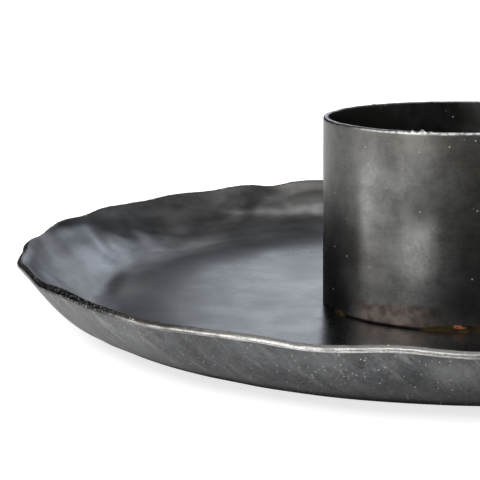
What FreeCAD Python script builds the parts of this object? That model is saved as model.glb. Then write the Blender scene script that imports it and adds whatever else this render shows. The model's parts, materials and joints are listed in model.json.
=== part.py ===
"""Hand-forged candle holder: a hammered steel dish with a rolled steel cup brazed to its floor.

Millimetres, +Z up. The origin is the centre of the dish's flat underside, on the table.
A bearing is an angle about +Z from +X, counter-clockwise, so the front of the holder is at 270 degrees.
"""

import FreeCAD
import Part

import math
import os

# Dish: one disc of steel sheet, hammered up at its edge
SHEET = 2.0
DISH_RADIUS = 100.0  # to the outer corner of the rim, before hammering
WALL_RUN = 23.0  # from the edge of the flat underside out to the rim
RIM_HEIGHT = 14.2  # outer corner of the rim above the table, before hammering
RIM_SLOPE = 54.0  # degrees from level, of the wall where it meets the rim

# Cup: a strip of thinner sheet, rolled round and closed by one upright seam
CANDLE_BORE = 30.0  # inside radius, for a pillar candle of 60 mm
CUP_WALL = 1.2
CUP_HEIGHT = 42.0
CUP_EDGE_BREAK = 0.4  # filed corner at the mouth

# Braze: the upright seam of the cup, and the tacks between the cup and the dish
SEAM_BEARING = 60.0
SEAM_WIDTH = 0.8  # between the two ends of the rolled strip
SEAM_CROWN = 0.3  # how far the bead stands out of the cup
SEAM_BEAD_RADIUS = 2.5  # of the bead's round face
TACK_GAP = 0.3  # between the foot of the cup and the floor of the dish
TACK_RISE = 1.3  # up the outside of the cup
TACK_REACH = 1.4  # out over the floor

# Each tack's name, the bearing of its middle and the angle that it covers, in degrees
TACKS = [
    ("base_braze_front", 272.0, 34.0),
    ("base_braze_front_left", 213.0, 9.0),
    ("base_braze_back_left", 150.0, 16.0),
    ("base_braze_back", 90.0, 13.0),
    ("base_braze_back_right", 32.0, 18.0),
    ("base_braze_front_right", 328.0, 12.0),
]

# Hammer marks along the rim: bearing and half width in degrees, then how far the edge is lifted and
# how far it is pushed out. Each mark is struck twice, half a turn apart.
RIM_MARKS = [
    (98, 5, 0.30, -0.2),
    (107, 5, -0.25, 0.2),
    (116, 5, 0.35, -0.2),
    (122, 4, -0.60, 0.3),
    (128, 5, 0.35, -0.2),
    (134, 4, -0.25, 0.2),
    (141, 5, 0.20, -0.1),
    (147, 4, -0.20, 0.1),
    (157, 6, 0.45, -0.2),
    (162, 4, -0.15, 0.1),
    (170, 7, 0.60, 0.1),
    (178, 5, -0.40, 0.3),
    (183, 5, 0.10, 0.4),
    (188, 4, -0.30, -0.1),
    (194, 5, -0.10, 0.4),
    (204, 9, 0.05, -0.4),
    (217, 8, 0.45, -0.2),
    (234, 9, -0.40, 0.3),
    (247, 6, 0.15, -0.1),
    (255, 6, -0.35, 0.2),
    (264, 6, 0.40, -0.3),
    (273, 6, -0.20, 0.2),
]
RING_POINTS = 120  # round each ring of the dish
WALL_RINGS = 5  # from the flat floor up to the rim

CUP_RADIUS = CANDLE_BORE + CUP_WALL
CUP_FOOT = SHEET + TACK_GAP
CUP_TOP = CUP_FOOT + CUP_HEIGHT
UP = FreeCAD.Vector(0, 0, 1)
CENTRE = FreeCAD.Vector(0, 0, 0)


def rim_shift(bearing):
    """How far the hammer has lifted the rim and pushed it out at this bearing, from all its marks."""
    lift = 0.0
    push = 0.0
    for middle, half_width, mark_lift, mark_push in RIM_MARKS:
        away = abs((bearing - middle + 90.0) % 180.0 - 90.0)
        if away < half_width:
            share = 0.5 * (1.0 + math.cos(math.pi * away / half_width))
            lift += share * mark_lift
            push += share * mark_push
    return lift, push


def wall_point(share, inside, bearing):
    """Point of the wall, share 0 at the flat floor to 1 at the rim, on its outer or its inner face.

    The outer face is a parabola that leaves the table level and reaches the rim at RIM_SLOPE.
    The inner face lies one sheet thickness away, square to the outer one.
    """
    base_radius = DISH_RADIUS - WALL_RUN
    knee_radius = DISH_RADIUS - RIM_HEIGHT / math.tan(math.radians(RIM_SLOPE))
    rest = 1.0 - share
    radius = rest**2 * base_radius + 2.0 * share * rest * knee_radius + share**2 * DISH_RADIUS
    height = share**2 * RIM_HEIGHT
    if inside:
        run = rest * (knee_radius - base_radius) + share * (DISH_RADIUS - knee_radius)
        slope = math.atan2(share * RIM_HEIGHT, run)
        radius -= SHEET * math.sin(slope)
        height += SHEET * math.cos(slope)
    lift, push = rim_shift(bearing)
    radius += push * share**2
    height += lift * share**2
    turn = math.radians(bearing)
    return FreeCAD.Vector(radius * math.cos(turn), radius * math.sin(turn), height)


def wall_ring(share, inside):
    """Closed smooth line round the dish at one height of its wall."""
    points = [wall_point(share, inside, 360.0 * i / RING_POINTS) for i in range(RING_POINTS)]
    line = Part.BSplineCurve()
    line.interpolate(Points=points, PeriodicFlag=True)
    return Part.Wire(line.toShape())


def make_dish():
    """Flat floor, curved wall and square-cut rim of one sheet, closed by faces on every side."""
    shares = [i / (WALL_RINGS - 1) for i in range(WALL_RINGS)]
    outer_rings = [wall_ring(share, False) for share in shares]
    inner_rings = [wall_ring(share, True) for share in shares]
    skins = [
        Part.makeLoft(outer_rings),
        Part.makeLoft(inner_rings),
        Part.makeLoft([outer_rings[-1], inner_rings[-1]], False, True),
        Part.Face(outer_rings[0]),
        Part.Face(inner_rings[0]),
    ]
    shell = Part.Shell([face for skin in skins for face in skin.Faces])
    shell.sewShape()
    dish = Part.Solid(shell)
    if dish.Volume < 0:
        dish.reverse()
    return dish


def at_seam(shape):
    """Turns a shape made at bearing 0 to the bearing of the cup's seam."""
    turned = shape.copy()
    turned.rotate(CENTRE, UP, SEAM_BEARING)
    return turned


def rolled_ring():
    """The whole round wall of the cup, with its mouth's outer corner filed off."""
    wall = Part.makeCylinder(CUP_RADIUS, CUP_HEIGHT, FreeCAD.Vector(0, 0, CUP_FOOT))
    mouth = [edge for edge in wall.Edges if edge.BoundBox.ZMin > CUP_TOP - CUP_EDGE_BREAK]
    wall = wall.makeChamfer(CUP_EDGE_BREAK, mouth)
    return wall.cut(Part.makeCylinder(CANDLE_BORE, CUP_HEIGHT, FreeCAD.Vector(0, 0, CUP_FOOT)))


def seam_gap():
    """Block that fills the space between the ends of the rolled strip."""
    corner = FreeCAD.Vector(0, -SEAM_WIDTH / 2, CUP_FOOT)
    return at_seam(Part.makeBox(CUP_RADIUS + SEAM_CROWN, SEAM_WIDTH, CUP_HEIGHT, corner))


def make_cup():
    """The rolled strip, open at its seam."""
    return rolled_ring().cut(seam_gap()).Solids[0]


def make_seam():
    """Braze that fills the seam from foot to mouth, with a low bead on the outside."""
    bead_centre = FreeCAD.Vector(CUP_RADIUS + SEAM_CROWN - SEAM_BEAD_RADIUS, 0, CUP_FOOT)
    bead_height = CUP_HEIGHT - CUP_EDGE_BREAK
    bead = at_seam(Part.makeCylinder(SEAM_BEAD_RADIUS, bead_height, bead_centre))
    core = Part.makeCylinder(CUP_RADIUS, CUP_HEIGHT, FreeCAD.Vector(0, 0, CUP_FOOT))
    fill = rolled_ring().common(seam_gap())
    return fill.fuse(bead.cut(core)).removeSplitter().Solids[0]


def make_tack(bearing, angle):
    """Braze under the foot of the cup and in the corner outside it, over part of the circle."""
    corners = [
        (CANDLE_BORE, SHEET),
        (CUP_RADIUS + TACK_REACH, SHEET),
        (CUP_RADIUS, CUP_FOOT + TACK_RISE),
        (CUP_RADIUS, CUP_FOOT),
        (CANDLE_BORE, CUP_FOOT),
    ]
    outline = Part.makePolygon([FreeCAD.Vector(r, 0, z) for r, z in corners + corners[:1]])
    tack = Part.Face(outline).revolve(CENTRE, UP, angle)
    tack.rotate(CENTRE, UP, bearing - angle / 2)
    return tack


def main():
    pieces = {"dish": make_dish(), "candle_cup": make_cup(), "cup_seam_braze": make_seam()}
    for name, bearing, angle in TACKS:
        pieces[name] = make_tack(bearing, angle)
    os.makedirs("parts", exist_ok=True)
    for name, shape in pieces.items():
        shape.exportStep(f"parts/{name}.step")
        print(f"{name}: {shape.ShapeType}, valid {shape.isValid()}, {shape.Volume:.1f} mm3")


main()
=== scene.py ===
"""Looks of the hand-forged candle holder: a hammered steel dish, a rolled steel cup and their braze.

Metres, +Z up, in the frame of the CAD model. Shapes are worked out in millimetres and scaled by MM.
A bearing is an angle about +Z from +X in degrees, so the camera looks at the holder from about 270.
"""

import json
import math
from functools import partialmethod

import bpy
import numpy as np
from mathutils import Matrix, Vector


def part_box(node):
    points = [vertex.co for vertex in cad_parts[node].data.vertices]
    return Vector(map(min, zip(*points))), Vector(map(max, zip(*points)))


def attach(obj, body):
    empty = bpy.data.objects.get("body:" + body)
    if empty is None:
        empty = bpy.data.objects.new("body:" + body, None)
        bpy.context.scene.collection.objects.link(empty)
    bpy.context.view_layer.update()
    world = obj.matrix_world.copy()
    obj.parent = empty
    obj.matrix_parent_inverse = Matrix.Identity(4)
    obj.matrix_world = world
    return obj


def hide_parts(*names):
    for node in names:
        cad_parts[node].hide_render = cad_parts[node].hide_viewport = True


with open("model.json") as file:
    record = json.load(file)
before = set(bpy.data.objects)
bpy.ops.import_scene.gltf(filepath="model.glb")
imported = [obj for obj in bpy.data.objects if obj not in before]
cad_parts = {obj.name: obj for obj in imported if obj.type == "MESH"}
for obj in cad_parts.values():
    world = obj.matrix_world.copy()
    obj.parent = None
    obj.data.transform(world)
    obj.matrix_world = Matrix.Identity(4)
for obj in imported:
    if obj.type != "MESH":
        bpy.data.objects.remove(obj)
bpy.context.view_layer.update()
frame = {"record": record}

MM = 0.001
SEED = 7

# Sizes that the frame gives, in millimetres
CUP_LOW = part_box("candle_cup")[0] / MM
CUP_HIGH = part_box("candle_cup")[1] / MM
CUP_RADIUS = (CUP_HIGH[0] - CUP_LOW[0]) / 2
CUP_FOOT = CUP_LOW[2]
CUP_TOP = CUP_HIGH[2]
MOUNTS = {mount["name"]: mount for mount in frame["record"]["mounts"]}
BORE_RADIUS = MOUNTS["candle_bore"]["dims"]["r_mm"]
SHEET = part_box("base_braze_front")[0][2] / MM  # the tacks stand on the floor of the dish
TACK_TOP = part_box("base_braze_front")[1][2] / MM

# The dish's section, as in the CAD model, in millimetres and degrees
DISH_RADIUS = 100.0
WALL_RUN = 23.0
RIM_HEIGHT = 14.2
RIM_SLOPE = 54.0
BASE_RADIUS = DISH_RADIUS - WALL_RUN
KNEE_RADIUS = DISH_RADIUS - RIM_HEIGHT / math.tan(math.radians(RIM_SLOPE))

# Hammer marks along the rim, as in the CAD model: bearing, half width, lift and push outwards.
# Each mark is struck twice, half a turn apart.
RIM_MARKS = [
    (98, 5, 0.30, -0.2),
    (107, 5, -0.25, 0.2),
    (116, 5, 0.35, -0.2),
    (122, 4, -0.60, 0.3),
    (128, 5, 0.35, -0.2),
    (134, 4, -0.25, 0.2),
    (141, 5, 0.20, -0.1),
    (147, 4, -0.20, 0.1),
    (157, 6, 0.45, -0.2),
    (162, 4, -0.15, 0.1),
    (170, 7, 0.60, 0.1),
    (178, 5, -0.40, 0.3),
    (183, 5, 0.10, 0.4),
    (188, 4, -0.30, -0.1),
    (194, 5, -0.10, 0.4),
    (204, 9, 0.05, -0.4),
    (217, 8, 0.45, -0.2),
    (234, 9, -0.40, 0.3),
    (247, 6, 0.15, -0.1),
    (255, 6, -0.35, 0.2),
    (264, 6, 0.40, -0.3),
    (273, 6, -0.20, 0.2),
]

# Marks of the rim's left tip that are struck once, in the same terms
FRONT_MARKS = [
    (186, 9, 0.0, 0.35),
    (194, 8, -0.45, 0.25),
]

# Dents in the wall: bearing, share of the wall from floor to rim, half length and half width in
# millimetres, lean of the length in degrees, and depth, negative where the inner face stands up.
# Each is struck twice, half a turn apart.
WALL_DENTS = [
    (116.3, 0.86, 6.6, 2.0, 161, 0.12),
    (117.7, 0.60, 5.9, 2.2, 41, 0.07),
    (119.7, 0.43, 10.6, 5.0, 65, -0.16),
    (120.8, 0.38, 19.3, 9.9, 140, -0.11),
    (122.7, 0.76, 9.1, 2.7, 91, -0.16),
    (125.2, 0.21, 11.6, 3.3, 14, 0.11),
    (126.3, 0.92, 4.9, 2.0, 12, 0.11),
    (126.7, 0.73, 6.7, 2.2, 131, 0.15),
    (129.4, 0.12, 8.0, 2.0, 177, -0.06),
    (129.8, 0.70, 10.9, 2.0, 13, 0.18),
    (129.9, 0.39, 8.6, 3.5, 176, -0.07),
    (131.1, 0.85, 5.3, 2.0, 40, -0.08),
    (131.3, 0.88, 5.6, 2.4, 38, -0.07),
    (133.3, 0.86, 6.6, 2.3, 154, -0.07),
    (133.6, 0.58, 9.4, 4.5, 65, -0.09),
    (137.1, 0.25, 20.0, 4.4, 166, -0.14),
    (138.4, 0.24, 13.0, 2.0, 4, 0.14),
    (143.2, 0.39, 11.0, 2.0, 3, -0.10),
    (145.6, 0.48, 19.4, 4.6, 19, 0.23),
    (149.3, 0.65, 12.0, 2.0, 25, 0.22),
    (150.8, 0.62, 6.1, 3.8, 28, 0.16),
    (151.0, 0.34, 9.3, 3.8, 19, 0.19),
    (154.9, 0.65, 12.4, 4.5, 12, 0.22),
    (158.2, 0.77, 6.1, 2.5, 49, 0.13),
    (158.3, 0.69, 10.2, 4.2, 80, 0.18),
    (160.4, 0.49, 17.5, 4.1, 135, 0.14),
    (162.6, 0.61, 6.0, 2.5, 105, -0.08),
    (163.5, 0.97, 11.7, 2.0, 4, 0.20),
    (165.0, 0.54, 5.2, 3.7, 105, -0.06),
    (165.3, 0.08, 12.1, 3.6, 179, -0.16),
    (165.9, 0.72, 5.8, 2.0, 97, -0.03),
    (168.0, 0.97, 9.5, 6.0, 13, 0.14),
    (168.3, 0.97, 7.9, 7.5, 91, 0.14),
    (169.2, 0.70, 8.5, 3.0, 86, 0.07),
    (173.5, 0.87, 9.0, 2.0, 178, -0.16),
    (174.4, 0.31, 12.1, 2.0, 2, 0.15),
    (175.8, 0.29, 12.4, 3.0, 170, 0.16),
    (176.7, 0.88, 9.0, 4.4, 82, -0.20),
    (177.0, 0.25, 20.0, 3.7, 168, 0.22),
    (180.6, 0.80, 3.0, 3.8, 128, 0.12),
    (181.7, 0.77, 5.1, 3.8, 138, 0.09),
    (184.3, 0.12, 12.5, 4.8, 159, 0.18),
    (186.2, 0.71, 3.6, 4.9, 63, 0.09),
]
# Forms that are struck once, in the same terms
FRONT_DENTS = [
    (200.0, 0.55, 24.0, 8.0, 0, 0.40),
    (187.0, 0.33, 15.0, 4.5, 0, 0.70),
    (195.0, 0.91, 4.5, 1.2, 160, -0.08),
    (265.0, 0.84, 2.2, 2.2, 0, -0.30),
]
# Light marks that paint reflections and dark ones that paint shade on the inner face, in the terms of the
# dents, with the strength of the mark for the depth, negative where it is dark
INNER_MARKS = [
    (157, 0.95, 5.0, 1.6, 0, 0.45),  # light crescent under the rim
    (161, 0.87, 3.5, 2.5, 0, -0.45),  # dark spot below it
    (170, 0.82, 14.0, 5.0, 0, -0.45),  # dark upper wall
    (165, 0.73, 5.0, 1.5, 112, 0.40),  # slanting light ridge
    (163, 0.70, 5.0, 1.5, 112, -0.35),  # and its dark side
    (170, 0.93, 3.0, 1.8, 0, 0.30),  # light oval along the rim
    (175, 0.80, 2.5, 2.0, 0, -0.30),  # small dark spot
    (198, 0.94, 6.0, 0.9, 0, 0.15),  # light lip along the rim
    (195, 0.87, 8.0, 2.5, 0, -0.30),  # and its dark side
    (153, 0.40, 5.0, 3.5, 0, 0.30),  # light blob low on the wall
    (155, 0.68, 5.0, 2.0, 100, -0.40),  # dark fingers above it
    (150, 0.60, 4.0, 2.0, 100, -0.35),
    (128, 0.77, 7.0, 1.8, 126, -0.35),  # dark stripe down the back wall
    (118, 0.82, 14.0, 3.0, 0, -0.20),  # darker wall beside it
    (119, 0.60, 14.0, 2.5, 0, 0.45),  # light band below that
    (149, 0.18, 12.0, 3.5, 0, 0.25),  # light foot of the wall
    (182, 0.32, 13.0, 5.0, 0, -0.45),  # dark foot of the left wall
    (187, -0.03, 14.0, 5.0, 0, 0.50),  # lighter floor along it
    (170, 0.06, 5.0, 3.0, 0, -0.30),  # and its dark end
    (146, 0.33, 5.0, 2.5, 0, 0.25),  # light wall behind that
    (147, 0.60, 8.0, 4.0, 0, -0.15),  # under darker wall
    (134, -0.15, 7.0, 4.0, 0, -0.30),  # dark floor along the back wall
    (157, -1.25, 24.0, 9.0, 0, 0.24),  # light floor beside the cup
    (165, -0.70, 14.0, 8.0, 0, -0.20),  # and darker floor beyond it
]
# The same painted reflections and painted shade on the outer face
OUTER_MARKS = [
    (265, 0.76, 4.0, 3.0, 0, -0.45),  # dark soft spot
    (259, 0.78, 7.0, 5.0, 0, 0.22),  # light wall on its left
    (269, 0.85, 9.0, 3.0, 0, 0.28),  # and on its right, under the rim
    (252, 0.65, 6.0, 3.0, 0, -0.20),  # dark smear low on the wall
    (250, 0.87, 5.0, 3.0, 0, 0.22),  # light smear above it
    (244, 0.60, 4.0, 3.0, 0, 0.30),  # light spot near the foot
    (242, 0.80, 4.0, 3.0, 0, -0.22),  # dark spot above it
    (230, 0.80, 4.0, 4.0, 0, 0.20),  # light patches on the left
    (227, 0.90, 5.0, 3.0, 0, 0.32),
]
# Where a dull film lies on the inner face, in the same terms, with its thickness at the end
FILM_MARKS = [
    (180, 0.03, 11.0, 4.5, 0, 1.6),
    (163, 0.22, 9.0, 4.0, 0, 1.1),
    (145, 0.25, 12.0, 4.5, 0, 1.2),
    (0, 0.03, 11.0, 4.5, 0, 1.6),
    (325, 0.25, 12.0, 4.5, 0, 1.2),
    (60, 0.15, 14.0, 5.0, 0, 1.0),
    (262, -1.52, 36.0, 7.0, 0, 0.2),
]
DENT_RADIUS = 92.0  # where the bearings of the dents are turned into millimetres
DENT_FADE = 0.06  # share of the wall below the rim over which dents and marks end
WALL_LENGTH = 27.5  # of the wall's section, from floor to rim
# Random dents for the stretch of wall that the lists leave plain: their number, and the limits of each
# value of a dent, in the terms of WALL_DENTS
PLAIN_DENTS = 46
PLAIN_LIMITS = [(8.0, 98.0), (0.2, 0.95), (4.0, 9.0), (2.2, 5.0), (0, 180), (-0.16, 0.16)]

# The camera that the photograph was solved for
PHOTO_SIZE = 480  # pixels each way
CAMERA_PLACE = Vector((0.0, -389.04, 89.78)) * MM
CAMERA_YAW = -0.1293  # radians, to the right of +Y
CAMERA_PITCH = 0.1881  # radians, downwards
CAMERA_ROLL = 0.0073  # radians
CAMERA_FOCUS = 1719.3  # pixels
CAMERA_NEAR = 0.01  # metres: nothing nearer is drawn
SENSOR_WIDTH = 36.0

random = np.random.default_rng(SEED)


# Shapes


def apart(bearing, middle, period=360.0):
    """Signed angle from a middle bearing, in degrees."""
    return (bearing - middle + period / 2) % period - period / 2


def wave(lowest, highest, amount):
    """Smooth random height round the circle, made of waves with lowest to highest swings a turn."""
    swings = np.arange(lowest, highest + 1)
    starts = random.uniform(0, 2 * math.pi, len(swings))
    sizes = amount * np.sqrt(lowest / swings) / math.sqrt(len(swings))

    def height(bearing):
        turn = np.radians(bearing)
        return sum(size * np.sin(n * turn + start) for n, size, start in zip(swings, sizes, starts))

    return height


def ripples(longest, shortest, count, amount):
    """Smooth random height over a plane, made of straight waves in all directions."""
    lengths = np.geomspace(longest, shortest, count)
    headings, starts = random.uniform(0, 2 * math.pi, (2, count))
    sizes = amount * lengths / longest / math.sqrt(count)

    def height(x, y):
        total = np.zeros_like(x)
        for length, heading, start, size in zip(lengths, headings, starts, sizes):
            across = x * math.cos(heading) + y * math.sin(heading)
            total += size * np.sin(2 * math.pi * across / length + start)
        return total

    return height


def rim_shift(bearing):
    """How far the hammer has lifted the rim and pushed it out."""
    lift = np.zeros_like(bearing)
    push = np.zeros_like(bearing)
    for marks, period in ((RIM_MARKS, 180.0), (FRONT_MARKS, 360.0)):
        for middle, half_width, mark_lift, mark_push in marks:
            away = np.abs(apart(bearing, middle, period)) / half_width
            share = 0.5 * (1.0 + np.cos(math.pi * np.minimum(away, 1.0)))
            lift += share * mark_lift
            push += share * mark_push
    return lift, push


def random_dents():
    """Planishing marks where WALL_DENTS has none, in the same form."""
    return [tuple(random.uniform(*limits) for limits in PLAIN_LIMITS) for _ in range(PLAIN_DENTS)]


def dent_depth(bearing, share, dents, period):
    """Depth of all the dents, or strength of all the marks, along one level of the wall."""
    depth = np.zeros_like(bearing)
    for middle, level, length, width, lean, deep in dents:
        u = np.radians(apart(bearing, middle, period)) * DENT_RADIUS
        v = (share - level) * WALL_LENGTH
        turn = math.radians(lean)
        along = (u * math.cos(turn) + v * math.sin(turn)) / length
        across = (v * math.cos(turn) - u * math.sin(turn)) / width
        depth += deep * np.exp(-(along**2) - across**2)
    return depth * min(1.0, (1.0 - share) / DENT_FADE)


def ring_of(bearing, radius, height):
    """Points in metres at the given bearings, from a radius and a height in millimetres."""
    turn = np.radians(bearing)
    height = np.broadcast_to(height, turn.shape)
    return np.stack([radius * np.cos(turn), radius * np.sin(turn), height], axis=-1) * MM


def grid_piece(name, rings, material, values=None, closed=True, tube=False, poles=(None, None)):
    """Mesh object from a list of rings of points.

    values holds numbers that the mesh stores by name for its material, at each point or in each column.
    closed joins each ring's end to its start, tube joins the last ring to the first, and poles are
    the points that close the first and the last ring. A UV map named along holds, in millimetres, the
    way round and the way across the rings.
    """
    points = np.asarray(rings)
    rows, columns = points.shape[:2]
    index = np.arange(rows * columns).reshape(rows, columns).tolist()
    row_pairs = [(r, (r + 1) % rows) for r in range(rows if tube else rows - 1)]
    column_pairs = [(c, (c + 1) % columns) for c in range(columns if closed else columns - 1)]
    vertices = points.reshape(-1, 3).tolist()
    round_way = np.linalg.norm(np.diff(points, axis=1, append=points[:, :1]), axis=2).max(axis=0)
    u = np.concatenate([[0.0], np.cumsum(round_way)]) / MM
    cross_way = np.linalg.norm(np.diff(points, axis=0, append=points[:1]), axis=2).mean(axis=1)
    v = np.concatenate([[0.0], np.cumsum(cross_way)]) / MM
    faces, places = [], []
    for r0, r1 in row_pairs:
        for c0, c1 in column_pairs:
            faces.append((index[r0][c0], index[r0][c1], index[r1][c1], index[r1][c0]))
            places += [(u[c0], v[r0]), (u[c0 + 1], v[r0]), (u[c0 + 1], v[r0 + 1]), (u[c0], v[r0 + 1])]
    for pole, row in zip(poles, (0, rows - 1)):
        if pole is None:
            continue
        vertices.append(tuple(pole))
        tip = len(vertices) - 1
        for c0, c1 in column_pairs:
            corners = (tip, index[row][c1], index[row][c0])
            faces.append(corners if row == 0 else corners[::-1])
            places += [(u[c0], v[row])] * 3
    if not closed:
        for column in (0, columns - 1):
            corners = [row[column] for row in index]
            faces.append(corners if column == 0 else corners[::-1])
            places += [(u[column], v[row]) for row in range(rows)]
    mesh = bpy.data.meshes.new(name)
    mesh.from_pydata(vertices, [], faces)
    uv = mesh.uv_layers.new(name="along")
    uv.data.foreach_set("uv", np.asarray(places, dtype=np.float32).ravel())
    mesh.polygons.foreach_set("use_smooth", np.ones(len(faces), dtype=bool))
    mesh.materials.append(material)
    mesh.validate()
    for key, given in (values or {}).items():
        column = np.zeros(len(vertices), dtype=np.float32)
        column[: rows * columns] = np.broadcast_to(given, (rows, columns)).ravel()
        mesh.attributes.new(key, "FLOAT", "POINT").data.foreach_set("value", column)
    piece = bpy.data.objects.new(name, mesh)
    bpy.context.scene.collection.objects.link(piece)
    return piece


def stretch(bearing, middle, half_width, ease):
    """1 within a half width of a bearing, falling to 0 over ease degrees about its ends."""
    return np.clip(0.5 + (half_width - np.abs(apart(bearing, middle))) / ease, 0.0, 1.0)


def any_stretch(bearing, zones, ease):
    """The largest of several stretches."""
    return np.max([stretch(bearing, *zone, ease) for zone in zones], axis=0)


def between(value, low, high):
    """Share of the way from low to high, within 0 and 1."""
    return np.clip((value - low) / (high - low), 0.0, 1.0)


def smooth(share):
    """Share from 0 to 1 with an easy start and end."""
    return share * share * (3.0 - 2.0 * share)


# Dish

DISH_COLUMNS = 840
FLOOR_STEPS = [5, 14, 23, 29, 31, 33, 36] + [39.0 + 2.3 * step for step in range(16)] + [75.6]  # radii
FLOOR_FADE = 0.2  # share of the wall over which the floor's brushing ends
# Ripples of the floor: longest and shortest in millimetres, how many, and height
FLOOR_RIPPLES = (70.0, 14.0, 28, 0.10)
RIPPLE_START, RIPPLE_FULL = 33.0, 41.0  # radii between which they start, outside the cup
INNER_WALL_ROWS = 36
OUTER_WALL_ROWS = 28
UNDERSIDE_STEPS = [74, 60, 30]  # radii
INNER_CORNER = 0.25  # radius of the rim's inner corner
OUTER_CORNER = 0.60  # radius of the rim's worn outer corner
# Fewest and most swings a turn, and height, of the edge's roughness and of its worn corner's size
EDGE_BUMPS = (90, 420, 0.05)
EDGE_WEAR = (8, 60, 0.16)
END_BUMPS = 0.3  # share of the roughness where the edge meets the wall
WALL_END = 0.98  # share of the wall where the rim's own rows take over
BOWL_START = 36.0  # radius where the floor starts to rise a little towards the wall
BOWL_END = 98.0  # radius where that rise has gone again
BOWL_RISE = 1.9  # millimetres at its highest, at the foot of the wall
BOWL_POWERS = (3.0, 1.2)  # of its two sides
BOWL_BEARING = 118.0  # where it is strongest, also half a turn on
BOWL_SPREAD = 40.0
BOWL_LEAST = 0.45  # share of it that is left between
RIM_THINNING = 0.6  # what hammering has taken off the sheet's outer face at the rim
THINNING_START = 0.5  # share of the wall where that starts
FULL_RIM = (199.0, 20.0, 12.0)  # bearing, half width and ease of the stretch that is not thinned
TIP_WEAR = 0.6  # what wear has taken off the inner face at the rim's left tip
TIP_STRETCH = (200.0, 11.0, 14.0)  # bearing, half width and ease of that
TIP_START = 0.94  # share of the wall where it starts
FADE_LOW, FADE_HIGH = 0.16, 0.48  # shares of the wall over which dents start on its outer face
PAINTED_SHADE_START, PAINTED_SHADE_END = 0.58, 0.40  # shares of the wall between which painted shade darkens it towards the underside
# Stretches of the rim's edge: bearing and half width
RIM_ZONES = {
    "scale": [(202.0, 27.0), (30.0, 14.0), (95.0, 9.0), (318.0, 11.0)],  # black
    "bare": [(266.0, 26.0), (75.0, 20.0), (0.0, 16.0)],  # ground
    "bright": [(257.0, 13.0), (284.0, 6.0), (70.0, 9.0), (120.0, 7.0), (345.0, 9.0)],  # most worn
}
RIM_EASE = 16.0  # degrees over which they start and end
BROWN_ZONES = [(128.0, 24.0, 30.0), (308.0, 24.0, 30.0)]  # brown wall: bearing, half width and ease
BROWN_START, BROWN_FULL = 0.05, 0.35  # shares of the wall between which the brown starts
# Distances from the middle between which the floor gets duller towards the wall, and the wall towards
# the floor, and the roughness that this adds
DULL_RISE, DULL_FALL = (64.0, 74.0), (84.0, 76.0)
DULL_FOOT = 0.14


def wall_section(share):
    """Radius, height and slope of the wall's outer face."""
    rest = 1.0 - share
    radius = rest**2 * BASE_RADIUS + 2.0 * share * rest * KNEE_RADIUS + share**2 * DISH_RADIUS
    run = rest * (KNEE_RADIUS - BASE_RADIUS) + share * (DISH_RADIUS - KNEE_RADIUS)
    return radius, share**2 * RIM_HEIGHT, math.atan2(share * RIM_HEIGHT, run)


def rim_section():
    """Rows over the rim's cut edge, from its inner corner to its worn outer one.

    Each row is its share of the way from the outer face to the inner one, what is added to that, its
    depth below the edge, and 1 where the worn outer corner scales the last two.
    """
    inner = np.radians([0.0, 30.0, 60.0, 90.0])
    outer = np.radians([85.0, 68.0, 51.0, 34.0, 17.0, 0.0])
    rows = [(1.0, -INNER_CORNER * (1 - math.cos(a)), INNER_CORNER * (1 - math.sin(a)), 0) for a in inner]
    rows += [(0.62, 0.0, 0.0, 0), (0.54, 0.0, 0.02, 0)]
    return rows + [(0.0, 1 - math.cos(a), 1 - math.sin(a), 1) for a in outer]


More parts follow.
